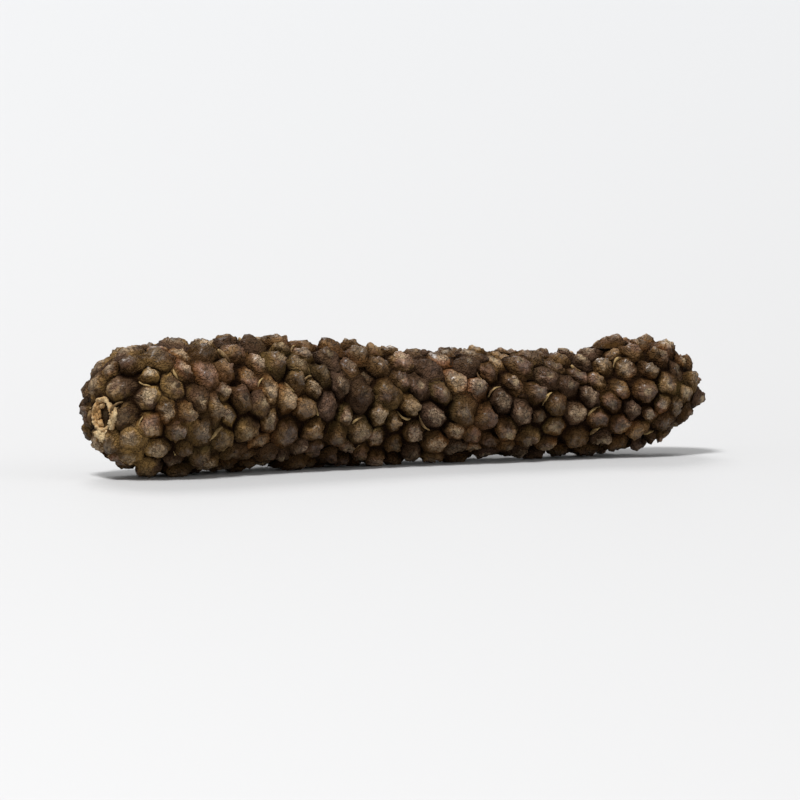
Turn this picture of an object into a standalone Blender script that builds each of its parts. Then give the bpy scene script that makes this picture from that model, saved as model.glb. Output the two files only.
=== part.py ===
"""A dried long pepper: one fruit spike, built as a single solid that lies on a table.

The spike is a slender stem wrapped all over in small berries that grew pressed together, so it
is one natural piece. Each berry stands on its own cell of the stem's surface, and its neighbours'
cells meet it in narrow grooves. The blunt end keeps the torn scar of the stalk.

Metres, +Z up. The spike lies along X with its stalk end at -X, on the plane z = 0.
"""

import math
import random

import bmesh
import bpy
import numpy as np
from mathutils import Vector
from mathutils.geometry import delaunay_2d_cdt

# The stem under the berries, measured along its own line
STEM_LENGTH = 0.0353
STALK_END_RADIUS = 0.00302
TIP_END_RADIUS = 0.00234
STALK_CAP = 0.0036
TIP_CAP = 0.0046
CAP_POWER = 2.3

# Where it swells or draws in, as (share of the radius, place from 0 to 1, how far that reaches)
SWELLINGS = ((0.04, 0.27, 0.12), (-0.05, 0.55, 0.10), (-0.07, 0.79, 0.06), (0.09, 0.91, 0.06))

# How its line runs: the stalk end turns aside, and the tip lifts off the table
SIDE_SLOPE = 0.34
SIDE_BEND_FROM = 0.52
SIDE_SHIFT = 0.00117
LENGTH_SHIFT = 0.00010
TIP_RISE = 0.0005
TIP_RISE_FROM = 0.60
SINK = 0.00024

# The berries: a few dried to stubs, and each is raised in rings of (share of its cell, share of its height)
BERRY_SPACING = 0.00136
TIP_BERRY_SPACING = 0.00110
BERRY_HEIGHT = 0.00072
BERRY_RINGS = ((0.86, 0.46), (0.46, 1.0))
ROUNDNESS = 0.8
HEIGHT_SPREAD = 0.28
PLACE_SPREAD = 0.23
LEAN = 0.30
STUB_CHANCE = 0.09
STUB_HEIGHT = 0.5
GOLDEN_ANGLE = math.pi * (3 - math.sqrt(5))
SEED = 11

# The scar: the width of the torn stalk, then its rings of (share of its cell, height)
SCAR_RADIUS = 0.00120
SCAR_RINGS = ((0.92, 0.00024), (0.74, 0.00030), (0.62, -0.00012))

PROFILE_STEPS = 2000
SHARP_ANGLE = math.radians(60)


def body_radius(t):
    """The stem's radius at t, from 0 at the stalk to 1 at the tip, before its ends are rounded."""
    ease = t * t * (3 - 2 * t)
    swell = 1 + sum(share * math.exp(-(((t - place) / reach) ** 2)) for share, place, reach in SWELLINGS)
    return (STALK_END_RADIUS + (TIP_END_RADIUS - STALK_END_RADIUS) * ease) * swell


def stem_radius(t):
    """The stem's radius with both ends rounded off."""
    rounding = 1.0
    for distance, cap in ((t * STEM_LENGTH, STALK_CAP), ((1 - t) * STEM_LENGTH, TIP_CAP)):
        short = max(0.0, 1 - distance / cap)
        rounding *= max(0.0, 1 - short**CAP_POWER) ** (1 / CAP_POWER)
    return body_radius(t) * rounding


def berry_spacing(t):
    """The berries are smaller towards the tip, where they ripened last."""
    return BERRY_SPACING + (TIP_BERRY_SPACING - BERRY_SPACING) * t**4


def stem_line(t):
    """The point at t on the stem's own line."""
    turned = max(0.0, SIDE_BEND_FROM - t)
    side = SIDE_SHIFT - SIDE_SLOPE * STEM_LENGTH * turned**2 / (2 * SIDE_BEND_FROM)
    rise = TIP_RISE * (max(0.0, t - TIP_RISE_FROM) / (1 - TIP_RISE_FROM)) ** 2
    lift = body_radius(t) + BERRY_HEIGHT - SINK + rise
    return Vector(((t - 0.5) * STEM_LENGTH + LENGTH_SHIFT, side, lift))


def on_stem(t, turn):
    """The point of the stem's surface at t, turned by an angle about the stem's line."""
    step = 1e-4
    along = (stem_line(t + step) - stem_line(t - step)).normalized()
    across = along.cross(Vector((0, 0, 1))).normalized()
    up = across.cross(along)
    return stem_line(t) + stem_radius(t) * (math.cos(turn) * across + math.sin(turn) * up)


def stem_tables():
    """Along the stem: t, the number of berries up to there, and the height on a log-polar map.

    On that map a small patch of the surface keeps its shape, so neighbours are found flat.
    """
    t = (1 - np.cos(np.linspace(0, math.pi, PROFILE_STEPS))) / 2
    radius = np.array([stem_radius(value) for value in t])
    middle = (radius[1:] + radius[:-1]) / 2
    surface_step = np.hypot(np.diff(t) * STEM_LENGTH, np.diff(radius))
    spacing = np.array([berry_spacing(value) for value in t[1:]])
    ring = 2 * math.pi * middle
    cell = spacing**2 * math.sqrt(3) / 2
    berries = np.concatenate([[0], np.cumsum(ring * surface_step / cell)])
    height = np.concatenate([[0], np.cumsum(surface_step / middle)])
    return t, berries, height


def berry_places(draw):
    """(t, turn, map point) of each berry: a golden angle on, and one berry's room along."""
    t_table, berries, height = stem_tables()
    scar_share = (math.pi * SCAR_RADIUS**2) / (BERRY_SPACING**2 * math.sqrt(3) / 2)
    count = int(berries[-1] - scar_share - 0.5)
    places = []
    for k in range(count):
        t = float(np.interp(scar_share + k + 0.5, berries, t_table))
        spread = PLACE_SPREAD * berry_spacing(t) / stem_radius(t) * min(1, k / 8)
        turn = k * GOLDEN_ANGLE + spread * draw.uniform(-1, 1)
        rung = float(np.interp(t, t_table, height)) + spread * draw.uniform(-1, 1)
        t = float(np.interp(rung, height, t_table))
        reach = math.exp(rung - height[1])
        places.append((t, turn, Vector((reach * math.cos(turn), reach * math.sin(turn)))))
    return places


def berry_net(draw):
    """A closed mesh of triangles with a vertex at each berry's foot, one at the scar and one at the tip."""
    places = berry_places(draw)
    flat = [Vector((0, 0))] + [place[2] for place in places]
    triangles = delaunay_2d_cdt(flat, [], [], 0, 1e-9)[2]
    net = bmesh.new()
    feet = [net.verts.new(stem_line(0))]
    feet += [net.verts.new(on_stem(t, turn)) for t, turn, _ in places]
    for corners in triangles:
        net.faces.new([feet[corner] for corner in corners])
    tip = net.verts.new(stem_line(1))
    for edge in [edge for edge in net.edges if edge.is_boundary]:
        net.faces.new([*edge.verts, tip])
    bmesh.ops.recalc_face_normals(net, faces=net.faces)
    net.normal_update()
    return net


def cell_ring(foot, corners):
    """The corners of the cell round a foot, in order: one in each triangle that meets there."""
    first = loop = foot.link_loops[0]
    ring = []
    while True:
        ring.append(corners[loop.face])
        loop = loop.link_loop_prev.link_loop_radial_next
        if loop == first:
            return ring


def raise_cell(solid, ring, centre, outward, rings):
    """Closes a cell with rings of (share of the cell, height), the last of them round a flat face.

    Corners that lie further out than the cell's mean width are drawn in, which rounds the berry.
    """
    width = sum((corner.co - centre).length for corner in ring) / len(ring)
    spokes = []
    for corner in ring:
        spoke = corner.co - centre
        too_long = max(0.0, spoke.length - width)
        spokes.append(spoke * (1 - ROUNDNESS * too_long / spoke.length))
    edge = ring
    for share, height in rings:
        inner = [solid.verts.new(centre + share * spoke + height * outward) for spoke in spokes]
        for i in range(len(ring)):
            solid.faces.new([edge[i - 1], edge[i], inner[i], inner[i - 1]])
        edge = inner
    solid.faces.new(edge)


def lay_flat(solid):
    """Flattens the lowest berries on the plane z = 0, where the spike rests."""
    parts = [*solid.verts, *solid.edges, *solid.faces]
    bmesh.ops.bisect_plane(solid, geom=parts, plane_co=(0, 0, 0), plane_no=(0, 0, -1), clear_outer=True)
    open_edges = [edge for edge in solid.edges if edge.is_boundary]
    bmesh.ops.holes_fill(solid, edges=open_edges, sides=0)


def long_pepper_mesh():
    """The whole spike: a berry on each cell of the net, and the scar on the first one."""
    draw = random.Random(SEED)
    net = berry_net(draw)
    solid = bmesh.new()
    corners = {face: solid.verts.new(face.calc_center_median()) for face in net.faces}
    for number, foot in enumerate(net.verts):
        ring = cell_ring(foot, corners)
        centre = sum((corner.co for corner in ring), Vector()) / len(ring)
        outward = foot.normal
        if number == 0:
            raise_cell(solid, ring, centre, outward, SCAR_RINGS)
            continue
        width = sum((corner.co - centre).length for corner in ring) / len(ring)
        full_width = BERRY_SPACING / math.sqrt(3)
        tall = BERRY_HEIGHT * min(1.0, width / full_width) * (1 + HEIGHT_SPREAD * draw.uniform(-1, 1))
        if draw.random() < STUB_CHANCE:
            tall *= STUB_HEIGHT
        way = draw.uniform(0, 2 * math.pi)
        side = outward.orthogonal().normalized()
        leaning = math.cos(way) * side + math.sin(way) * outward.cross(side)
        outward = (outward + LEAN * draw.random() * leaning).normalized()
        rings = [(share, height * tall) for share, height in BERRY_RINGS]
        raise_cell(solid, ring, centre, outward, rings)
    bmesh.ops.recalc_face_normals(solid, faces=solid.faces)
    lay_flat(solid)
    mesh = bpy.data.meshes.new("long_pepper")
    solid.to_mesh(mesh)
    net.free()
    solid.free()
    mesh.shade_smooth()
    mesh.set_sharp_from_angle(angle=SHARP_ANGLE)
    return mesh


def dried_skin():
    """The dark brown, slightly dusty skin of the dried berries."""
    material = bpy.data.materials.new("dried_skin")
    material.use_nodes = True
    shader = material.node_tree.nodes["Principled BSDF"]
    shader.inputs["Base Color"].default_value = (0.062, 0.036, 0.022, 1)
    shader.inputs["Roughness"].default_value = 0.6
    shader.inputs["Metallic"].default_value = 0.0
    return material


def main():
    for thing in list(bpy.data.objects):
        bpy.data.objects.remove(thing)
    mesh = long_pepper_mesh()
    mesh.materials.append(dried_skin())
    pepper = bpy.data.objects.new("long_pepper", mesh)
    bpy.context.scene.collection.objects.link(pepper)


main()
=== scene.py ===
import math
import bpy
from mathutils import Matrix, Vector


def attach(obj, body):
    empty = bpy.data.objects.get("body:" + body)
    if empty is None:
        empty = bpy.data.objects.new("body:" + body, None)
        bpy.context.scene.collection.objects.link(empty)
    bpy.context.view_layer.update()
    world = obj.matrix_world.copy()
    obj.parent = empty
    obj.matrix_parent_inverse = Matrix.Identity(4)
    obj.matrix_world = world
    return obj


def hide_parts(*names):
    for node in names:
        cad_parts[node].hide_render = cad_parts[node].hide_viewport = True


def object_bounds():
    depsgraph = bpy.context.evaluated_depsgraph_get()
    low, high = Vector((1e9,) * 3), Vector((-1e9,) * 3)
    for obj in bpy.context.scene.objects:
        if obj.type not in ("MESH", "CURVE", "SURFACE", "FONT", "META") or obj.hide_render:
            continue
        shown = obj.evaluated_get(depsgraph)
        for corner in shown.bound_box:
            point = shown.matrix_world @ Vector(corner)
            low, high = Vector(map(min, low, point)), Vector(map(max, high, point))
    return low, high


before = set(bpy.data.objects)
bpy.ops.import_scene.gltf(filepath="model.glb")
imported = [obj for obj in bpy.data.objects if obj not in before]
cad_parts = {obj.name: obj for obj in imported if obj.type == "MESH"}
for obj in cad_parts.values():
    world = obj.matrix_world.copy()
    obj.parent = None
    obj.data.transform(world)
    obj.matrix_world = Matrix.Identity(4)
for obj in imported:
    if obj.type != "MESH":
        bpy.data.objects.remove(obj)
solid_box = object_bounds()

VIEW_TURN = math.radians(-25)
VIEW_RISE = math.radians(4.5)
VIEW_DISTANCE = 0.75
VIEW_WIDTH = 0.0415
VIEW_CENTRE = Vector((0.0002, 0.0, 0.0034))
VIEW_REACH = (0.01, 50.0)
FILM_WIDTH = 36

scene = bpy.context.scene
scene.view_settings.view_transform = "Standard"
lens = bpy.data.cameras.new("view")
lens.sensor_width = FILM_WIDTH
lens.lens = FILM_WIDTH * VIEW_DISTANCE / VIEW_WIDTH
lens.clip_start, lens.clip_end = VIEW_REACH
camera = bpy.data.objects.new("view", lens)
towards = Vector((
    math.sin(VIEW_TURN) * math.cos(VIEW_RISE),
    -math.cos(VIEW_TURN) * math.cos(VIEW_RISE),
    math.sin(VIEW_RISE),
))
camera.location = VIEW_CENTRE + VIEW_DISTANCE * towards
camera.rotation_euler = towards.to_track_quat("Z", "Y").to_euler()
scene.collection.objects.link(camera)
scene.camera = camera


# The table and the light
# A white table that runs off into a white room. Soft lamps stand to the upper left in front, on
# the right and behind, and the room's own white light fills the rest. Further back, where less of
# the lamps' light arrives, the table is a stronger white.
TABLE_SIDE = 12.0
TABLE_WHITE = (0.480, 0.480, 0.483, 1)
TABLE_FAR_WHITE = (0.655, 0.662, 0.672, 1)
TABLE_FAR = 0.45
TABLE_ROUGHNESS = 0.55
ROOM_WHITE = (1.0, 1.0, 1.0, 1)
ROOM_LEVEL = 0.42
LAMPS = (
    # name, where it stands, how wide it is, watts
    ("key_lamp", (-0.46, -0.34, 1.18), 0.34, 21.0),
    ("fill_lamp", (0.90, -0.90, 0.60), 0.80, 3.0),
    ("back_lamp", (0.25, 1.10, 0.90), 0.60, 5.5),
)


class Value:
    """A socket of a node tree, so that an expression on it adds its own Math nodes."""

    def __init__(self, socket):
        self.socket = socket
        self.tree = socket.id_data

    def out(self, name):
        """Another output of the same node."""
        return Value(self.socket.node.outputs[name])

    def feed(self, shader, name):
        """Leads this value to an input of the shader."""
        self.tree.links.new(self.socket, shader.inputs[name])

    def math(self, operation, *others):
        """A sum or other Math node on this number and others."""
        return add_node(self.tree, "ShaderNodeMath", {"operation": operation}, enumerate([self, *others]))

    def vector(self, operation, *others):
        """The same on vectors. A dot product, distance or length comes out as a number."""
        given = enumerate([self, *others])
        made = add_node(self.tree, "ShaderNodeVectorMath", {"operation": operation}, given)
        return made.out("Value") if operation in ("DOT_PRODUCT", "DISTANCE", "LENGTH") else made

    def scaled(self, factor):
        """This vector, made that many times as long."""
        given = {0: self, "Scale": factor}
        return add_node(self.tree, "ShaderNodeVectorMath", {"operation": "SCALE"}, given)

    def between(self, low, high):
        """0 up to low, 1 from high, and smooth between."""
        given = {"Value": self, "From Min": low, "From Max": high}
        return add_node(self.tree, "ShaderNodeMapRange", {"interpolation_type": "SMOOTHSTEP"}, given)

    def __add__(self, other):
        return self.math("ADD", other)

    def __mul__(self, other):
        return self.math("MULTIPLY", other)

    def __sub__(self, other):
        return self.math("SUBTRACT", other)

    def __rsub__(self, other):
        return add_node(self.tree, "ShaderNodeMath", {"operation": "SUBTRACT"}, {0: other, 1: self})

    __radd__ = __add__
    __rmul__ = __mul__


def add_node(tree, kind, settings=(), inputs=()):
    """Adds a node: first its settings, then the values or links of its sockets.

    Gives its first output in use.
    """
    node = tree.nodes.new(kind)
    for name, setting in dict(settings).items():
        setattr(node, name, setting)
    for name, given in dict(inputs).items():
        if isinstance(given, Value):
            tree.links.new(given.socket, node.inputs[name])
        else:
            node.inputs[name].default_value = given
    shown = [socket for socket in node.outputs if socket.enabled]
    return Value(shown[0]) if shown else node


def mixed(tree, share, first, second):
    """The first colour with a share of the second mixed into it."""
    return add_node(tree, "ShaderNodeMix", {"data_type": "RGBA"}, {0: share, 6: first, 7: second})


def start_finish(name, all_over):
    """A new material, with what is the same all over it. Gives it, its tree and shader, and the place."""
    finish = bpy.data.materials.new(name)
    finish.use_nodes = True
    tree = finish.node_tree
    shader = tree.nodes["Principled BSDF"]
    for socket, number in all_over.items():
        shader.inputs[socket].default_value = number
    return finish, tree, shader, add_node(tree, "ShaderNodeTexCoord").out("Object")


half = TABLE_SIDE / 2
table_corners = [(-half, -half, 0), (half, -half, 0), (half, half, 0), (-half, half, 0)]
table_mesh = bpy.data.meshes.new("table")
table_mesh.from_pydata(table_corners, [], [(0, 1, 2, 3)])
table = bpy.data.objects.new("table", table_mesh)
scene.collection.objects.link(table)

table_white, tree, shader, where = start_finish("table_white", {"Roughness": TABLE_ROUGHNESS})
backwards = add_node(tree, "ShaderNodeSeparateXYZ", {}, {"Vector": where}).out("Y")
far_back = add_node(tree, "ShaderNodeMapRange", {}, {"Value": backwards, "From Max": TABLE_FAR})
mixed(tree, far_back, TABLE_WHITE, TABLE_FAR_WHITE).feed(shader, "Base Color")
table_mesh.materials.append(table_white)

room = bpy.data.worlds.new("room")
room.use_nodes = True
room.node_tree.nodes["Background"].inputs["Color"].default_value = ROOM_WHITE
room.node_tree.nodes["Background"].inputs["Strength"].default_value = ROOM_LEVEL
scene.world = room

for name, place, size, watts in LAMPS:
    lamp = bpy.data.lights.new(name, "AREA")
    lamp.shape = "DISK"
    lamp.size = size
    lamp.energy = watts
    lamp_object = bpy.data.objects.new(name, lamp)
    lamp_object.location = place
    lamp_object.rotation_euler = Vector(place).to_track_quat("Z", "Y").to_euler()
    lamp_object.visible_camera = False
    scene.collection.objects.link(lamp_object)


# The berries
# Small dried fruits that grew pressed together all over one stem, in a spiral, so that each is a
# rounded cell with deep grooves round it. Their thin brown skin is wrinkled and dusty on top.
import random

import bmesh
import numpy as np
from mathutils.geometry import delaunay_2d_cdt

STEM_LENGTH = 0.0353
STALK_END_RADIUS = 0.00302
TIP_END_RADIUS = 0.00234
STALK_CAP = 0.0036
TIP_CAP = 0.0046
CAP_POWER = 2.3
SWELLINGS = ((0.04, 0.27, 0.12), (-0.05, 0.55, 0.10), (-0.07, 0.79, 0.06), (0.09, 0.91, 0.06))
SIDE_SLOPE = 0.34
SIDE_BEND_FROM = 0.52
SIDE_SHIFT = 0.00117
LENGTH_SHIFT = 0.00010
TIP_RISE = 0.0005
TIP_RISE_FROM = 0.60
SINK = 0.00024
BERRY_SPACING = 0.00136
TIP_BERRY_SPACING = 0.00110
BERRY_HEIGHT = 0.00072
ROUNDNESS = 0.8
HEIGHT_SPREAD = 0.28
PLACE_SPREAD = 0.23
STEADIER_BERRIES = 8
LEAN = 0.30
STUB_CHANCE = 0.09
STUB_HEIGHT = 0.5
GOLDEN_ANGLE = math.pi * (3 - math.sqrt(5))
BERRY_SEED = 11
SCAR_RADIUS = 0.00120

# The area of a cell where the berries stand 1 apart, how finely the stem is measured, and how near
# each other two points are taken for one
CELL_AREA = math.sqrt(3) / 2
PROFILE_STEPS = 2000
LINE_STEP = 1e-4
SAME_PLACE = 1e-9


def stem_radius(t, rounded=True):
    """The stem's radius at t, from 0 at the stalk to 1 at the tip."""
    ease = t * t * (3 - 2 * t)
    swell = 1 + sum(share * math.exp(-(((t - place) / reach) ** 2)) for share, place, reach in SWELLINGS)
    radius = (STALK_END_RADIUS + (TIP_END_RADIUS - STALK_END_RADIUS) * ease) * swell
    if rounded:
        for distance, cap in ((t * STEM_LENGTH, STALK_CAP), ((1 - t) * STEM_LENGTH, TIP_CAP)):
            short = max(0.0, 1 - distance / cap)
            radius *= max(0.0, 1 - short**CAP_POWER) ** (1 / CAP_POWER)
    return radius


def stem_line(t):
    """The point at t on the stem's own line."""
    turned = max(0.0, SIDE_BEND_FROM - t)
    side = SIDE_SHIFT - SIDE_SLOPE * STEM_LENGTH * turned**2 / (2 * SIDE_BEND_FROM)
    rise = TIP_RISE * (max(0.0, t - TIP_RISE_FROM) / (1 - TIP_RISE_FROM)) ** 2
    lift = stem_radius(t, rounded=False) + BERRY_HEIGHT - SINK + rise
    return Vector(((t - 0.5) * STEM_LENGTH + LENGTH_SHIFT, side, lift))


def on_stem(t, turn):
    """The point of the stem's surface at t, turned by an angle about the stem's line."""
    along = (stem_line(t + LINE_STEP) - stem_line(t - LINE_STEP)).normalized()
    across = along.cross(Vector((0, 0, 1))).normalized()
    up = across.cross(along)
    return stem_line(t) + stem_radius(t) * (math.cos(turn) * across + math.sin(turn) * up)


def berry_spacing(t):
    """The berries are smaller towards the tip, where they ripened last."""
    return BERRY_SPACING + (TIP_BERRY_SPACING - BERRY_SPACING) * t**4


# A table along the stem: how many berries there are up to t, and t's height on a log-polar map
t_table = (1 - np.cos(np.linspace(0, math.pi, PROFILE_STEPS))) / 2
radii = np.array([stem_radius(t) for t in t_table])
middle_radii = (radii[1:] + radii[:-1]) / 2
steps = np.hypot(np.diff(t_table) * STEM_LENGTH, np.diff(radii))
cells = np.array([berry_spacing(t) for t in t_table[1:]]) ** 2 * CELL_AREA
berries_up_to = np.concatenate([[0], np.cumsum(2 * math.pi * middle_radii * steps / cells)])
map_height = np.concatenate([[0], np.cumsum(steps / middle_radii)])

# Each berry's foot: a golden angle on from the last, and one berry's room along
draw = random.Random(BERRY_SEED)
scar_share = (math.pi * SCAR_RADIUS**2) / (BERRY_SPACING**2 * CELL_AREA)
feet = [stem_line(0)]
flat_feet = [Vector((0, 0))]
for k in range(int(berries_up_to[-1] - scar_share - 0.5)):
    t = float(np.interp(scar_share + k + 0.5, berries_up_to, t_table))
    spread = PLACE_SPREAD * berry_spacing(t) / stem_radius(t) * min(1, k / STEADIER_BERRIES)
    turn = k * GOLDEN_ANGLE + spread * draw.uniform(-1, 1)
    rung = float(np.interp(t, t_table, map_height)) + spread * draw.uniform(-1, 1)
    reach = math.exp(rung - map_height[1])
    feet.append(on_stem(float(np.interp(rung, map_height, t_table)), turn))
    flat_feet.append(Vector((reach * math.cos(turn), reach * math.sin(turn))))

# The net that joins each foot to its neighbours, closed at the tip
net = bmesh.new()
net_feet = [net.verts.new(foot) for foot in feet]
for corners in delaunay_2d_cdt(flat_feet, [], [], 0, SAME_PLACE)[2]:
    net.faces.new([net_feet[corner] for corner in corners])
net_tip = net.verts.new(stem_line(1))
for edge in [edge for edge in net.edges if edge.is_boundary]:
    net.faces.new([*edge.verts, net_tip])
bmesh.ops.recalc_face_normals(net, faces=net.faces)
net.normal_update()

# What each berry carries: its middle, which way it stands, the point of its tip, its width and
# height, and three numbers from 0 to 1 that are its own luck
FACT_NAMES = ("middle", "outward", "apex_point", "width", "rise", "tint", "dust", "pit")
luck_draw = random.Random(BERRY_SEED + 1)
berry_facts = {name: [] for name in FACT_NAMES}
for number, foot in enumerate(net.verts):
    around = [face.calc_center_median() for face in foot.link_faces]
    middle = sum(around, Vector()) / len(around)
    width = sum((corner - middle).length for corner in around) / len(around)
    outward = foot.normal.copy()
    if number == 0:
        scar_middle, scar_outward, scar_width = middle, outward.copy(), width
        rise = 0.0
    else:
        room = min(1.0, width * math.sqrt(3) / BERRY_SPACING)
        rise = BERRY_HEIGHT * room * (1 + HEIGHT_SPREAD * draw.uniform(-1, 1))
        if draw.random() < STUB_CHANCE:
            rise *= STUB_HEIGHT
        way = draw.uniform(0, 2 * math.pi)
        side = outward.orthogonal().normalized()
        leaning = math.cos(way) * side + math.sin(way) * outward.cross(side)
        outward = (outward + LEAN * draw.random() * leaning).normalized()
    luck = [luck_draw.random() for _ in range(3)]
    for name, fact in zip(FACT_NAMES, (middle, outward, middle + rise * outward, width, rise, *luck)):
        berry_facts[name].append(fact)


def carry(mesh, facts):
    """Stores each list of numbers or vectors on the points of the mesh, under its name."""
    for name, numbers in facts.items():
        if isinstance(numbers[0], Vector):
            flat_numbers = [part for vector in numbers for part in vector]
            mesh.attributes.new(name, "FLOAT_VECTOR", "POINT").data.foreach_set("vector", flat_numbers)
        else:
            mesh.attributes.new(name, "FLOAT", "POINT").data.foreach_set("value", numbers)


net_mesh = bpy.data.meshes.new("berries")
net.to_mesh(net_mesh)
net.free()
carry(net_mesh, berry_facts)


def noise(tree, where, scale, detail=2.0, roughness=0.5, shift=None):
    """A cloudy pattern from 0 to 1, with that many patches to a metre."""
    if shift:
        where = where.vector("ADD", shift)
    inputs = {"Vector": where, "Scale": scale, "Detail": detail, "Roughness": roughness}
    return add_node(tree, "ShaderNodeTexNoise", {}, inputs)


def dip_and_rise(tree, where, cloud, depth):
    """A cloudy height, from about as far below 0 as above it."""
    return (noise(tree, where, *cloud) - 0.5) * depth * 2


def winding_lines(tree, where, cloud, thinness):
    """1 along the middle of a cloudy pattern, which makes winding lines, and 0 beside them."""
    return (1 - ((noise(tree, where, *cloud) - 0.5) * thinness).math("ABSOLUTE")).math("MAXIMUM", 0.0)


def frayed(number, amount, cloud):
    """The number, moved up and down by a cloudy pattern, so that what it bounds has an uneven edge."""
    return number + amount * (cloud - 0.5)


def at_least(least, number):
    """A number from 0 to 1, pressed together into the range from least to 1."""
    return least + (1 - least) * number


# Colours of the skin, as light is reflected: painted shade in the grooves, creases and pits; on the
# flanks; on berries darker by their own luck and in broad patches of painted shade; on the crowns,
# lighter towards each berry's top; in patches that dried redder, greener, mauve or ochre; and of the
# dust and dry scales on the crowns and the dry remains on the tips, both also painted highlights
PAINTED_SHADE_BROWN = (0.0110, 0.0038, 0.0003, 1)
FLANK_BROWN = (0.066, 0.0310, 0.0066, 1)
SHADED_BROWN = (0.036, 0.0175, 0.0058, 1)
CROWN_BROWN = (0.288, 0.166, 0.069, 1)
CROWN_MAUVE = (0.285, 0.156, 0.100, 1)
RED_BROWN = (0.165, 0.062, 0.018, 1)
GREY_GREEN = (0.080, 0.060, 0.018, 1)
MAUVE_BROWN = (0.080, 0.046, 0.029, 1)
OCHRE = (0.330, 0.195, 0.062, 1)
DUST_AND_HIGHLIGHT_TAN = (0.50, 0.370, 0.238, 1)
TIP_REMAINS_AND_HIGHLIGHT = (0.50, 0.38, 0.230, 1)

# Cloudy patterns of the skin: patches to a metre, detail, roughness, and a shift that sets one
# pattern apart from the others
RED_CLOUD = (230, 3)
GREEN_CLOUD = (170, 3, 0.5, (7.0, 3.0, 1.0))
OCHRE_CLOUD = (420, 3, 0.5, (1.0, 5.0, 2.0))
ROSY_CLOUD = (500, 2, 0.5, (8.0, 2.0, 6.0))
SHADE_PATCH_CLOUD = (700, 2, 0.6, (2.0, 9.0, 4.0))
FILLING_CLOUD = (520, 2)
MOTTLE_CLOUD = (2600, 4, 0.6)
GRAIN_CLOUD = (8000, 4, 0.65)
FOLD_CLOUD = (2300, 2)
FOLD_THINNESS = 18
RELIEF_CLOUD = (4200, 6, 0.66)
FINE_RELIEF_CLOUD = (15000, 3, 0.6)
WRINKLE_BEND_CLOUD = (2500, 2)

# The relief: the cells to a metre in the net of wrinkles, how far its lines bend in metres and how
# wide they are as a share of a cell. Then the height of each part beside the main pattern, and the
# depth of it all in metres
WRINKLE_CELLS = 3800
WRINKLE_BEND = 0.0002
WRINKLE_WIDTH = 0.20
WRINKLE_HEIGHT = 0.45
FOLD_DEPTH = 0.6
FINE_RELIEF_HEIGHT = 0.35
RELIEF_DEPTH = 0.00013

# Where each tone comes in and where it is full, on its pattern or on the berry's own numbers. The
# crown's number runs from 0 in the groove to 1 on top, and passes 1 where a pattern frays it
RED_RANGE = (0.45, 0.62)
GREEN_RANGE = (0.50, 0.64)
MAUVE_RANGE = (0.62, 0.90)
OCHRE_RANGE = (0.48, 0.62)
ROSY_RANGE = (0.46, 0.60)
CROWN_RANGE = (0.45, 1.02)
DUST_AND_HIGHLIGHT_RANGE = (0.78, 1.08)
DUSTY_RANGE = (0.25, 0.95)
CLEAN_RANGE = (0.0, 0.40)
REMAINS_AND_HIGHLIGHT_RANGE = (0.15, 0.60)
SHADE_PATCH_RANGE = (0.40, 0.58)
FILLED_RANGE = (0.44, 0.62)
GROOVE_RANGE = (0.08, 0.75)
GLOSSY_RANGE = (0.80, 1.15)
TORN_MOTTLE_RANGE = (0.35, 0.60)
PITTED = 0.62

# How far a pattern frays the edge of a tone, on the crown's scale
CROWN_FRAYED = 0.8
DUST_AND_HIGHLIGHT_FRAYED = 1.3
GROOVE_FRAYED = 0.5
GLOSS_FRAYED = 1.0

# The least of a tone that any berry gets, whatever its luck, and the most that a tone covers
RED_LEAST = 0.25
GREEN_LEAST = 0.35
CROWN_LEAST = 0.12
GLOSS_LEAST = 0.2
OCHRE_MOST = 0.80
DUST_AND_HIGHLIGHT_MOST = 0.60
FOLD_MOST = 0.35
REMAINS_AND_HIGHLIGHT_MOST = 0.65
PIT_MOST = 0.85
SHADED_MOST = 0.68
GLOSS_MOST = 0.8

# What yellowed skin takes from the brown of a crown and adds to its dry scales and painted highlights,
# and how much less painted shade a filled groove gets
YELLOWED_LESS_BROWN = 0.5
YELLOWED_MORE_DRY = 0.4
FILLED_PALER = 0.6

# How rough the skin is, and what the mottled pattern, a groove and the tint add or take
ROUGHNESS = 0.50
MOTTLE_ROUGHER = 0.28
GROOVE_ROUGHER = 0.20
TINT_SMOOTHER = 0.10

# In metres: places along X near the stalk end, and distances from the scar and from a berry's tip
NEAR_STALK = (-0.0130, -0.0045)
NEAR_SCAR = (0.0013, 0.0026)
TIP_SIZE = (0.00005, 0.00022)
PIT_MOUTH = (-0.00004, 0.00005)
PIT_NARROWER = 0.00007
TIP_FRAYED = 0.00034


def stored(tree, name, output="Fac"):
    """A number or vector that the mesh carries."""
    return add_node(tree, "ShaderNodeAttribute", {"attribute_name": name}).out(output)


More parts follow.
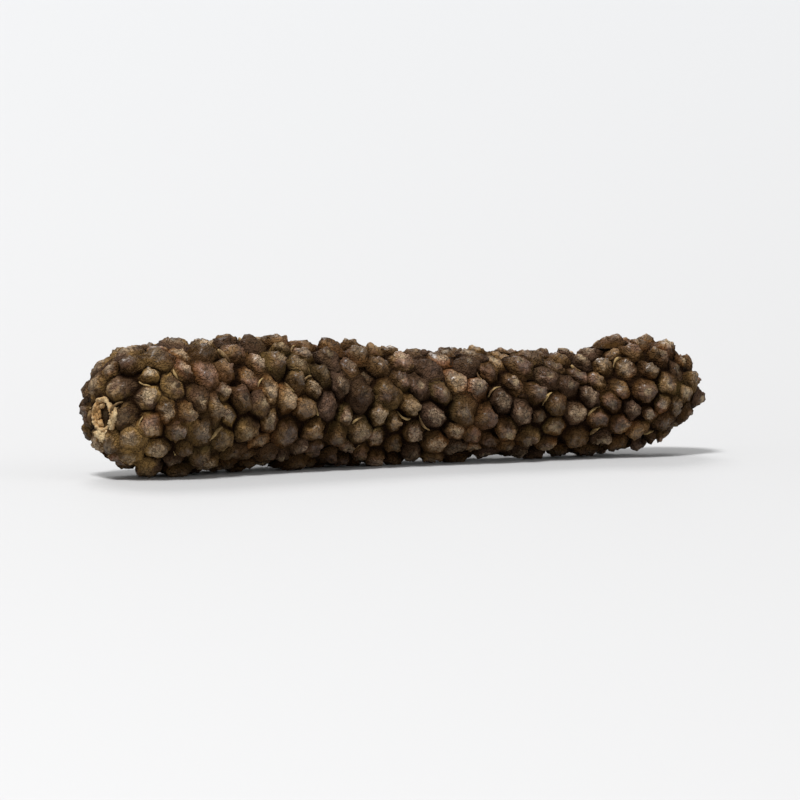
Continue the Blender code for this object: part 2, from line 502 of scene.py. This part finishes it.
def dried_skin():
    """The thin skin of the berries: painted shade in the grooves, creases and pits, and dusty, scaly or a
    little glossy on top, with painted highlights in the dust and on the tips.
    """
    all_over = {"Specular IOR Level": 0.06, "Coat Roughness": 0.36, "Coat IOR": 1.6}
    skin, tree, shader, where = start_finish("dried_skin", all_over)
    tint, dust, pit, crown = [stored(tree, name) for name in ("tint", "dust", "pit", "crown")]
    mottle = noise(tree, where, *MOTTLE_CLOUD)
    grain = noise(tree, where, *GRAIN_CLOUD)

    red = noise(tree, where, *RED_CLOUD).between(*RED_RANGE) * at_least(RED_LEAST, dust)
    flank = mixed(tree, red, FLANK_BROWN, RED_BROWN)
    green = noise(tree, where, *GREEN_CLOUD).between(*GREEN_RANGE) * at_least(GREEN_LEAST, pit)
    flank = mixed(tree, green, flank, GREY_GREEN)
    flank = mixed(tree, (1 - tint).between(*MAUVE_RANGE), flank, MAUVE_BROWN)
    near_stalk = 1 - add_node(tree, "ShaderNodeSeparateXYZ", {}, {"Vector": where}).between(*NEAR_STALK)
    yellowed = near_stalk * noise(tree, where, *OCHRE_CLOUD).between(*OCHRE_RANGE)
    torn = 1 - where.vector("DISTANCE", tuple(scar_middle)).between(*NEAR_SCAR)
    yellowed = yellowed.math("MAXIMUM", torn * mottle.between(*TORN_MOTTLE_RANGE))
    flank = mixed(tree, OCHRE_MOST * yellowed, flank, OCHRE)

    rosy = noise(tree, where, *ROSY_CLOUD).between(*ROSY_RANGE)
    on_top = frayed(crown, CROWN_FRAYED, mottle).between(*CROWN_RANGE) * at_least(CROWN_LEAST, tint)
    on_top = on_top * (1 - YELLOWED_LESS_BROWN * yellowed)
    colour = mixed(tree, on_top, flank, mixed(tree, rosy, CROWN_BROWN, CROWN_MAUVE))
    dry = dust.between(*DUSTY_RANGE) + YELLOWED_MORE_DRY * yellowed
    # Pale tan dust and dry scales on the tops of dusty berries, also a painted highlight
    dust_and_highlight = frayed(crown, DUST_AND_HIGHLIGHT_FRAYED, grain).between(*DUST_AND_HIGHLIGHT_RANGE) * dry
    colour = mixed(tree, DUST_AND_HIGHLIGHT_MOST * dust_and_highlight, colour, DUST_AND_HIGHLIGHT_TAN)
    # Painted shade along the folds on the crowns, which the bump also sinks
    folds = winding_lines(tree, where, FOLD_CLOUD, FOLD_THINNESS)
    colour = mixed(tree, FOLD_MOST * folds * crown, colour, PAINTED_SHADE_BROWN)

    sunken = pit.math("GREATER_THAN", PITTED)
    from_apex = where.vector("DISTANCE", stored(tree, "apex_point", "Vector"))
    from_tip = frayed(from_apex, TIP_FRAYED, mottle) - PIT_NARROWER * sunken
    # Pale dry remains on the tips, also a painted highlight
    remains_and_highlight = (1 - from_tip.between(*TIP_SIZE)) * pit.between(*REMAINS_AND_HIGHLIGHT_RANGE)
    colour = mixed(tree, REMAINS_AND_HIGHLIGHT_MOST * remains_and_highlight, colour, TIP_REMAINS_AND_HIGHLIGHT)
    # Painted shade in the pits of the sunken tips
    pit_shade = sunken * (1 - from_tip.between(*PIT_MOUTH))
    colour = mixed(tree, PIT_MOST * pit_shade, colour, PAINTED_SHADE_BROWN)

    # Painted shade in broad patches, standing for the shade of the skin's undulations, and berries darker by
    # their own luck
    unshaded_patches = noise(tree, where, *SHADE_PATCH_CLOUD).between(*SHADE_PATCH_RANGE)
    painted_shade_and_darker_berries = (1 - unshaded_patches).math("MAXIMUM", 1 - dust.between(*CLEAN_RANGE))
    colour = mixed(tree, SHADED_MOST * painted_shade_and_darker_berries, colour, SHADED_BROWN)
    # Painted shade in the grooves, down each berry's side, and less of it where a groove is filled
    filled = noise(tree, where, *FILLING_CLOUD).between(*FILLED_RANGE)
    groove = 1 - frayed(crown, GROOVE_FRAYED, mottle).between(*GROOVE_RANGE)
    groove = groove * (1 - FILLED_PALER * filled)
    mixed(tree, groove, colour, PAINTED_SHADE_BROWN).feed(shader, "Base Color")

    rough = ROUGHNESS + MOTTLE_ROUGHER * mottle + GROOVE_ROUGHER * groove - TINT_SMOOTHER * tint
    rough.feed(shader, "Roughness")
    glossy = frayed(crown, GLOSS_FRAYED, mottle).between(*GLOSSY_RANGE) * at_least(GLOSS_LEAST, tint)
    (GLOSS_MOST * glossy).feed(shader, "Coat Weight")
    bend = noise(tree, where, *WRINKLE_BEND_CLOUD).out("Color").scaled(WRINKLE_BEND)
    inputs = {"Vector": where.vector("ADD", bend), "Scale": WRINKLE_CELLS}
    wrinkles = add_node(tree, "ShaderNodeTexVoronoi", {"feature": "DISTANCE_TO_EDGE"}, inputs)
    relief = WRINKLE_HEIGHT * wrinkles.between(0.0, WRINKLE_WIDTH) - FOLD_DEPTH * folds
    relief = relief + noise(tree, where, *RELIEF_CLOUD)
    relief = relief + FINE_RELIEF_HEIGHT * noise(tree, where, *FINE_RELIEF_CLOUD)
    inputs = {"Height": relief, "Strength": 1.0, "Distance": RELIEF_DEPTH}
    add_node(tree, "ShaderNodeBump", {}, inputs).feed(shader, "Normal")
    return skin


def start_shape(name, sizes):
    """A new Geometry Nodes tree with named sizes. Gives the tree, its geometry and its sizes."""
    tree = bpy.data.node_groups.new(name, "GeometryNodeTree")
    tree.interface.new_socket("Geometry", in_out="INPUT", socket_type="NodeSocketGeometry")
    tree.interface.new_socket("Geometry", in_out="OUTPUT", socket_type="NodeSocketGeometry")
    for size in sizes:
        kind = "NodeSocketInt" if isinstance(sizes[size], int) else "NodeSocketFloat"
        tree.interface.new_socket(size, in_out="INPUT", socket_type=kind)
    start = tree.nodes.new("NodeGroupInput")
    return tree, Value(start.outputs["Geometry"]), {size: Value(start.outputs[size]) for size in sizes}


def finish_shape(tree, shape, material, mesh, sizes):
    """Ends the tree, runs it on the mesh with those sizes, and gives the plain result as one object."""
    shape = add_node(tree, "GeometryNodeRealizeInstances", {}, {"Geometry": shape})
    shape = add_node(tree, "GeometryNodeSetMaterial", {}, {"Geometry": shape, "Material": material})
    add_node(tree, "NodeGroupOutput", {}, {"Geometry": shape})
    maker = bpy.data.objects.new(tree.name + "_maker", mesh)
    scene.collection.objects.link(maker)
    modifier = maker.modifiers.new("shape", "NODES")
    modifier.node_group = tree
    for item in tree.interface.items_tree:
        if item.in_out == "INPUT" and item.name in sizes:
            modifier[item.identifier] = sizes[item.name]
    view = bpy.context.evaluated_depsgraph_get()
    made = bpy.data.meshes.new_from_object(maker.evaluated_get(view), depsgraph=view)
    maker.modifiers.remove(modifier)
    bpy.data.objects.remove(maker)
    made.name = tree.name
    made.materials.clear()
    made.materials.append(material)
    piece = bpy.data.objects.new(tree.name, made)
    scene.collection.objects.link(piece)
    return piece


def named(tree, name, kind="FLOAT"):
    """A number or vector that the mesh carries, while its shape is made."""
    made = add_node(tree, "GeometryNodeInputNamedAttribute", {"data_type": kind}, {"Name": name})
    return made.out("Attribute")


def keep(tree, shape, name, value, where=True, domain="POINT"):
    """Stores a number on the mesh while its shape is made."""
    settings = {"data_type": "FLOAT", "domain": domain}
    inputs = {"Geometry": shape, "Selection": where, "Name": name, "Value": value}
    return add_node(tree, "GeometryNodeStoreNamedAttribute", settings, inputs)


def moved(tree, shape, **how):
    """The mesh with its points at a new Position, or moved by an Offset, all of them or a Selection."""
    return add_node(tree, "GeometryNodeSetPosition", {}, {"Geometry": shape, **how})


def raised(tree, shape, top, offset, width):
    """Each chosen face raised on walls of its own, then drawn in to a share of its width."""
    inputs = {"Mesh": shape, "Selection": top, "Offset": offset, "Offset Scale": 1.0, "Individual": True}
    shape = add_node(tree, "GeometryNodeExtrudeMesh", {"mode": "FACES"}, inputs)
    top = shape.out("Top")
    inputs = {"Geometry": shape, "Selection": top, "Scale": width}
    return add_node(tree, "GeometryNodeScaleElements", {"domain": "FACE"}, inputs), top


BERRY_SIZES = {
    "Shoulder width": 0.90,
    "Shoulder rise": 0.40,
    "Crown width": 0.60,
    "Crown rise": 0.87,
    "Crown dome": 0.20,
    "Dome width": 0.75,
    "Roundness": ROUNDNESS,
    "Groove sharpness": 0.5,
    "Swell depth": 0.00016,
    "Lump depth": 0.00017,
    "Crease depth": 0.00016,
    "Knob depth": 0.00011,
    "Pit depth": 0.00013,
    "Nub height": 0.00005,
    "Groove filling": 0.55,
    "Seed": 3,
}
LOWEST_RISE = 0.00001
SHOULDER_CROWN = 0.55
SMOOTHING = 2

# Cloudy patterns of its surface: patches to a metre, detail and roughness, and how far a seed
# shifts them
SWELL_CLOUD = (650, 1)
LUMP_CLOUD = (1300, 2, 0.6)
KNOB_CLOUD = (2600, 1)
CREASE_CLOUD = (1900, 2)
CREASE_THINNESS = 6
SEED_SHIFT = 0.37

# Distances from a berry's tip and from the scar, over which these fade out or come in
PIT_REACH = (0.00007, 0.00026)
NUB_REACH = (0.00004, 0.00024)
UNFILLED_BY_SCAR = (0.0012, 0.0022)

tree, shape, size = start_shape("berries", BERRY_SIZES)
rise = named(tree, "rise")
outward = named(tree, "outward", "FLOAT_VECTOR")
width = named(tree, "width")
shape = add_node(tree, "GeometryNodeDualMesh", {}, {"Mesh": shape})
shape = keep(tree, shape, "crown", 0.0)
shape = keep(tree, shape, "groove", 1.0, domain="EDGE")

# The shoulder of each berry, with the corners of its cell drawn in so that it is round
shoulder = size["Shoulder rise"] * rise
is_berry = rise.math("GREATER_THAN", LOWEST_RISE)
shape, top = raised(tree, shape, is_berry, outward.scaled(shoulder), size["Shoulder width"])
hub = named(tree, "middle", "FLOAT_VECTOR").vector("ADD", outward.scaled(shoulder))
spoke = add_node(tree, "GeometryNodeInputPosition").vector("SUBTRACT", hub)
length = spoke.vector("LENGTH")
too_long = (length - size["Shoulder width"] * width).math("MAXIMUM", 0.0)
drawn_in = spoke.scaled(0 - size["Roundness"] * too_long.math("DIVIDE", length))
shape = moved(tree, shape, Selection=top, Offset=drawn_in)
shape = keep(tree, shape, "crown", SHOULDER_CROWN, where=top)

# Its crown, domed and rounded off
still_up = (size["Crown rise"] - size["Shoulder rise"]) * rise
narrower = size["Crown width"].math("DIVIDE", size["Shoulder width"])
shape, top = raised(tree, shape, top, outward.scaled(still_up), narrower)
shape = keep(tree, shape, "crown", 1.0, where=top)
sharp = named(tree, "groove") * size["Groove sharpness"]
inputs = {"Mesh": shape, "Level": SMOOTHING, "Edge Crease": sharp}
shape = add_node(tree, "GeometryNodeSubdivisionSurface", {}, inputs)
place = add_node(tree, "GeometryNodeInputPosition")
apex = place.vector("DISTANCE", named(tree, "apex_point", "FLOAT_VECTOR"))
dome = (1 - apex.between(0.0, size["Dome width"] * width)) * rise * size["Crown dome"]
shape = moved(tree, shape, Offset=outward.scaled(dome))

# Its lumps, creases and knobs, the pit or the nub on its tip, and what fills some grooves
crown = named(tree, "crown")
pattern = place.vector("ADD", add_node(tree, "ShaderNodeCombineXYZ", {}, {"X": size["Seed"] * SEED_SHIFT}))
swells = dip_and_rise(tree, pattern, SWELL_CLOUD, size["Swell depth"])
lumps = dip_and_rise(tree, pattern, LUMP_CLOUD, size["Lump depth"])
knobs = dip_and_rise(tree, pattern, KNOB_CLOUD, size["Knob depth"])
creases = winding_lines(tree, pattern, CREASE_CLOUD, CREASE_THINNESS).math("POWER", 2.0)
has_pit = named(tree, "pit").math("GREATER_THAN", PITTED)
pits = (1 - apex.between(*PIT_REACH)) * has_pit * size["Pit depth"]
nubs = (1 - apex.between(*NUB_REACH)) * (1 - has_pit) * size["Nub height"]
filled = noise(tree, place, *FILLING_CLOUD).between(*FILLED_RANGE)
off_scar = place.vector("DISTANCE", tuple(scar_middle)).between(*UNFILLED_BY_SCAR)
filling = filled * off_scar * rise * size["Groove filling"]
on_crown = lumps + knobs - creases * size["Crease depth"]
push = on_crown * crown + swells + nubs - pits + filling * (1 - crown)
shape = moved(tree, shape, Offset=add_node(tree, "GeometryNodeInputNormal").scaled(push))

# Nothing passes the box of the solid
within = add_node(tree, "GeometryNodeInputPosition")
for side, corner in zip(("MAXIMUM", "MINIMUM"), solid_box):
    within = within.vector(side, tuple(corner))
shape = moved(tree, shape, Position=within)
shape = add_node(tree, "GeometryNodeSetShadeSmooth", {}, {"Geometry": shape})
berries = finish_shape(tree, shape, dried_skin(), net_mesh, BERRY_SIZES)
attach(berries, "root")
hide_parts("long_pepper")


# The stalk scar
# Where the stalk tore off, its woody wall stands as a pale broken ring round a dark hollow, with
# crumbs of dry pith inside and of bark on one side. It grew as one with the stem and is fast in it.
from mathutils import noise as cloud

SCAR_PROFILE = (
    # share of the scar's width, height, how ragged the edge is
    (0.99, -0.00020, 0.0),
    (0.99, 0.00000, 0.2),
    (0.97, 0.00012, 0.6),
    (0.92, 0.00023, 1.0),
    (0.85, 0.00028, 1.3),
    (0.78, 0.00027, 1.4),
    (0.71, 0.00021, 1.4),
    (0.65, 0.00008, 1.0),
    (0.60, -0.00008, 0.6),
    (0.50, -0.00015, 0.8),
    (0.34, -0.00017, 1.2),
    (0.17, -0.00016, 1.2),
)
SCAR_SIDES = 96
SCAR_FLOOR = -0.00015
SCAR_ROOT = -0.00050
RAGGED_WIDE = 0.09
RAGGED_WIDE_SCALE = 1.9
RAGGED_HIGH = 0.00013
RAGGED_HIGH_SCALE = 4.1
FINER_SHARE = 0.5
FINER_SCALE = 2.3
FINER_SHIFT = Vector((5, 1, 3))

# The wall's thick side, as an angle round the scar. Opposite it the wall is thin: it is lower, and
# the hollow reaches further out
THICK_SIDE = 0.9
THIN = 0.45
HOLLOW_WIDER = 0.22
WALL_SHARE = 0.6

CRUMB_SEED = 5
CRUMBS = (
    # how many, which way round, share of the scar's width, height, size
    (7, (2.6, 5.0), (0.42, 0.66), -0.00004, (0.00007, 0.00016)),
    (9, (-1.1, 0.9), (1.00, 1.24), 0.00016, (0.00013, 0.00027)),
)
CRUMB_LUMPS = (
    # how high, as a share of the crumb's size, and how many to a metre
    (0.55, 9000),
    (0.22, 21000),
)
CRUMB_LONGER = 0.6
CRUMB_SMOOTHING = 3

WALL_TAN = (0.42, 0.220, 0.066, 1)
WALL_CREAM = (0.62, 0.46, 0.25, 1)
HOLLOW_BROWN = (0.040, 0.018, 0.006, 1)
FIBRE_CLOUD = (6000, 5, 0.75)
FIBRE_DEPTH = 0.00014
STAIN_CLOUD = (1400, 3, 0.6)
STAIN_RANGE = (0.45, 0.65)
STAIN_MOST = 0.8
CRACK_RANGE = (0.55, 0.72)
CRACK_MOST = 0.5

# Heights above the middle of the scar in millimetres, and how far the patterns fray them
MILLIMETRES = 1000
CREAM_HEIGHTS = (0.12, 0.50)
CREAM_FRAYED = 0.35
HOLLOW_HEIGHTS = (-0.02, 0.17)
HOLLOW_FRAYED = 0.3


def ragged(place, scale):
    """A number from about -1 to 1 that wanders from place to place, with a finer one in it."""
    finer = place * scale * FINER_SCALE + FINER_SHIFT
    return cloud.noise(place * scale) + FINER_SHARE * cloud.noise(finer)


scar_side = scar_outward.orthogonal().normalized()
scar_other = scar_outward.cross(scar_side)
scar = bmesh.new()
rings = []
for share, height, rag in SCAR_PROFILE:
    ring = []
    for i in range(SCAR_SIDES):
        turn = 2 * math.pi * i / SCAR_SIDES
        way = Vector((math.cos(turn), math.sin(turn), 0))
        thin = THIN * (0.5 - 0.5 * math.cos(turn - THICK_SIDE))
        wide = share + thin * HOLLOW_WIDER * math.sin(math.pi * min(1, (1 - share) / WALL_SHARE))
        wide *= 1 + RAGGED_WIDE * ragged(way + Vector((0, 0, share)), RAGGED_WIDE_SCALE)
        high = height - thin * max(0.0, height)
        wander = ragged(way * (0.5 + share) + Vector((0, 0, 2 * share)), RAGGED_HIGH_SCALE)
        high += rag * RAGGED_HIGH * wander
        point = scar_width * wide * (way.x * scar_side + way.y * scar_other)
        ring.append(scar.verts.new(scar_middle + point + high * scar_outward))
    rings.append(ring)
for outer, inner in zip(rings, rings[1:]):
    for i in range(SCAR_SIDES):
        scar.faces.new([outer[i - 1], outer[i], inner[i], inner[i - 1]])
floor_middle = scar.verts.new(scar_middle + SCAR_FLOOR * scar_outward)
root_middle = scar.verts.new(scar_middle + SCAR_ROOT * scar_outward)
for i in range(SCAR_SIDES):
    scar.faces.new([rings[-1][i - 1], rings[-1][i], floor_middle])
    scar.faces.new([rings[0][i], rings[0][i - 1], root_middle])

crumb_draw = random.Random(CRUMB_SEED)
for count, turns, shares, height, radii in CRUMBS:
    for _ in range(count):
        turn = crumb_draw.uniform(*turns)
        share = crumb_draw.uniform(*shares)
        way = math.cos(turn) * scar_side + math.sin(turn) * scar_other
        across = way.cross(scar_outward)
        point = scar_middle + share * scar_width * way + height * scar_outward
        radius = crumb_draw.uniform(*radii)
        crumb = bmesh.ops.create_icosphere(scar, subdivisions=CRUMB_SMOOTHING, radius=radius)
        for vertex in crumb["verts"]:
            vertex.co *= 1 + sum(high * ragged(vertex.co + point, scale) for high, scale in CRUMB_LUMPS)
            vertex.co += CRUMB_LONGER * vertex.co.dot(across) * across + point
bmesh.ops.recalc_face_normals(scar, faces=scar.faces)
scar_mesh = bpy.data.meshes.new("stalk_scar")
scar.to_mesh(scar_mesh)
scar.free()
scar_mesh.shade_smooth()
stalk_scar = bpy.data.objects.new("stalk_scar", scar_mesh)
scene.collection.objects.link(stalk_scar)

woody_wall, tree, shader, where = start_finish("woody_wall", {"Roughness": 0.75})
above = where.vector("SUBTRACT", tuple(scar_middle)).vector("DOT_PRODUCT", tuple(scar_outward)) * MILLIMETRES
fibres = noise(tree, where, *FIBRE_CLOUD)
stains = noise(tree, where, *STAIN_CLOUD)
colour = mixed(tree, (above + CREAM_FRAYED * fibres).between(*CREAM_HEIGHTS), WALL_TAN, WALL_CREAM)
colour = mixed(tree, STAIN_MOST * stains.between(*STAIN_RANGE), colour, WALL_TAN)
colour = mixed(tree, CRACK_MOST * fibres.between(*CRACK_RANGE), colour, HOLLOW_BROWN)
in_hollow = 1 - (above + HOLLOW_FRAYED * stains).between(*HOLLOW_HEIGHTS)
mixed(tree, in_hollow, colour, HOLLOW_BROWN).feed(shader, "Base Color")
inputs = {"Height": fibres, "Strength": 1.0, "Distance": FIBRE_DEPTH}
add_node(tree, "ShaderNodeBump", {}, inputs).feed(shader, "Normal")
scar_mesh.materials.append(woody_wall)
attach(stalk_scar, "root")


# The bracts
# Each berry grew in the arm of a tiny round leaf scale. Most have shrunk out of sight, but some
# still show as thin tan crescents in the grooves, more of them towards the stalk.
BRACT_SEED = 21
BRACT_CHANCE_AT_STALK = 0.34
BRACT_CHANCE_AT_TIP = 0.07
BRACT_CHANCE_POWER = 1.5
BRACT_SIZES = {
    "Bract width": 1.0,
    "Width spread": 0.14,
    "Turn spread": 1.1,
    "Ragged edge": 0.00011,
    "Seed": 8,
}
EDGE_CLOUD = (2600, 3, 0.6)
ABOVE_TABLE = 0.00002
BRACT_TAN = (0.34, 0.230, 0.092, 1)
BRACT_BROWN = (0.100, 0.053, 0.018, 1)
BRACT_CLOUD = (1500, 4, 0.7)
BRACT_TAN_RANGE = (0.40, 0.62)

# One bract for a berry 1 wide: a thin crescent blade, tall in its middle and low at its horns. Its
# top and its half thickness are given as the least, and how much is added where it is fullest
BLADE_STATIONS = 9
BLADE_ARC = math.radians(84)
BLADE_HORN = 0.06
BLADE_FOOT_OUT = 0.90
BLADE_TOP_OUT = 0.95
BLADE_BOTTOM = 0.10
BLADE_TOP = (0.18, 0.29)
BLADE_THICK = (0.025, 0.065)
BLADE_TOP_THINNER = 0.6


def bract_chance(foot):
    """How likely a berry is to have kept its bract."""
    from_tip = max(0.0, 0.5 - foot.x / STEM_LENGTH)
    return BRACT_CHANCE_AT_TIP + (BRACT_CHANCE_AT_STALK - BRACT_CHANCE_AT_TIP) * from_tip**BRACT_CHANCE_POWER


bract_draw = random.Random(BRACT_SEED)
middles = berry_facts["middle"]
bract_feet = [k for k in range(1, len(middles)) if bract_draw.random() < bract_chance(middles[k])]
bract_mesh = bpy.data.meshes.new("bract_places")
bract_mesh.from_pydata([middles[k] for k in bract_feet], [], [])
carry(bract_mesh, {name: [berry_facts[name][k] for k in bract_feet] for name in ("outward", "width")})

blade = bmesh.new()
stations = []
for i in range(BLADE_STATIONS):
    along = i / (BLADE_STATIONS - 1)
    turn = BLADE_ARC * (along - 0.5)
    full = math.sin(math.pi * (BLADE_HORN + (1 - 2 * BLADE_HORN) * along))
    thick = BLADE_THICK[0] + BLADE_THICK[1] * full
    high = BLADE_TOP[0] + BLADE_TOP[1] * full
    thin = thick * BLADE_TOP_THINNER
    corners = (
        (BLADE_FOOT_OUT - thick, BLADE_BOTTOM),
        (BLADE_FOOT_OUT + thick, BLADE_BOTTOM),
        (BLADE_TOP_OUT + thin, high),
        (BLADE_TOP_OUT - thin, high),
    )
    points = [(out * math.cos(turn), out * math.sin(turn), up) for out, up in corners]
    stations.append([blade.verts.new(point) for point in points])
for first, second in zip(stations, stations[1:]):
    for i in range(len(first)):
        blade.faces.new([first[i - 1], first[i], second[i], second[i - 1]])
blade.faces.new(stations[0])
blade.faces.new(stations[-1])
bmesh.ops.recalc_face_normals(blade, faces=blade.faces)
blade_mesh = bpy.data.meshes.new("bract_blade")
blade.to_mesh(blade_mesh)
blade.free()
blade_object = bpy.data.objects.new("bract_blade", blade_mesh)
scene.collection.objects.link(blade_object)


def chance(tree, low, high, seed):
    """A random number for each point."""
    inputs = {2: low, 3: high, "Seed": seed}
    return add_node(tree, "FunctionNodeRandomValue", {"data_type": "FLOAT"}, inputs).out(1)


# Each stands at the foot of its berry, on the side of the stalk, and is turned a little by chance
tree, shape, size = start_shape("bracts", BRACT_SIZES)
outward = named(tree, "outward", "FLOAT_VECTOR")
stand = add_node(tree, "FunctionNodeAlignRotationToVector", {"axis": "Z"}, {"Vector": outward})
settings = {"axis": "X", "pivot_axis": "Z"}
inputs = {"Rotation": stand, "Vector": (-1.0, 0.0, 0.0)}
stand = add_node(tree, "FunctionNodeAlignRotationToVector", settings, inputs)
turned = chance(tree, 0 - size["Turn spread"], size["Turn spread"], size["Seed"])
turned = add_node(tree, "ShaderNodeCombineXYZ", {}, {"Z": turned})
turned = add_node(tree, "FunctionNodeEulerToRotation", {}, {"Euler": turned})
inputs = {"Rotation": stand, "Rotate By": turned}
stand = add_node(tree, "FunctionNodeRotateRotation", {"rotation_space": "LOCAL"}, inputs)
wide = size["Bract width"] + chance(tree, 0 - size["Width spread"], 0.0, size["Seed"] + 1)
one = add_node(tree, "GeometryNodeObjectInfo", {}, {"Object": blade_object}).out("Geometry")
inputs = {"Points": shape, "Instance": one, "Rotation": stand, "Scale": named(tree, "width") * wide}
shape = add_node(tree, "GeometryNodeInstanceOnPoints", {}, inputs)
shape = add_node(tree, "GeometryNodeRealizeInstances", {}, {"Geometry": shape})
place = add_node(tree, "GeometryNodeInputPosition")
uneven = dip_and_rise(tree, place, EDGE_CLOUD, size["Ragged edge"])
shape = moved(tree, shape, Offset=add_node(tree, "GeometryNodeInputNormal").scaled(uneven))
on_table = add_node(tree, "GeometryNodeInputPosition").vector("MAXIMUM", (-1.0, -1.0, ABOVE_TABLE))
shape = moved(tree, shape, Position=on_table)
shape = add_node(tree, "GeometryNodeSetShadeSmooth", {}, {"Geometry": shape})

all_over = {"Roughness": 0.7, "Specular IOR Level": 0.3}
papery_bract, bract_tree, shader, where = start_finish("papery_bract", all_over)
tan_share = noise(bract_tree, where, *BRACT_CLOUD).between(*BRACT_TAN_RANGE)
mixed(bract_tree, tan_share, BRACT_BROWN, BRACT_TAN).feed(shader, "Base Color")
bracts = finish_shape(tree, shape, papery_bract, bract_mesh, BRACT_SIZES)
bpy.data.objects.remove(blade_object)
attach(bracts, "root")
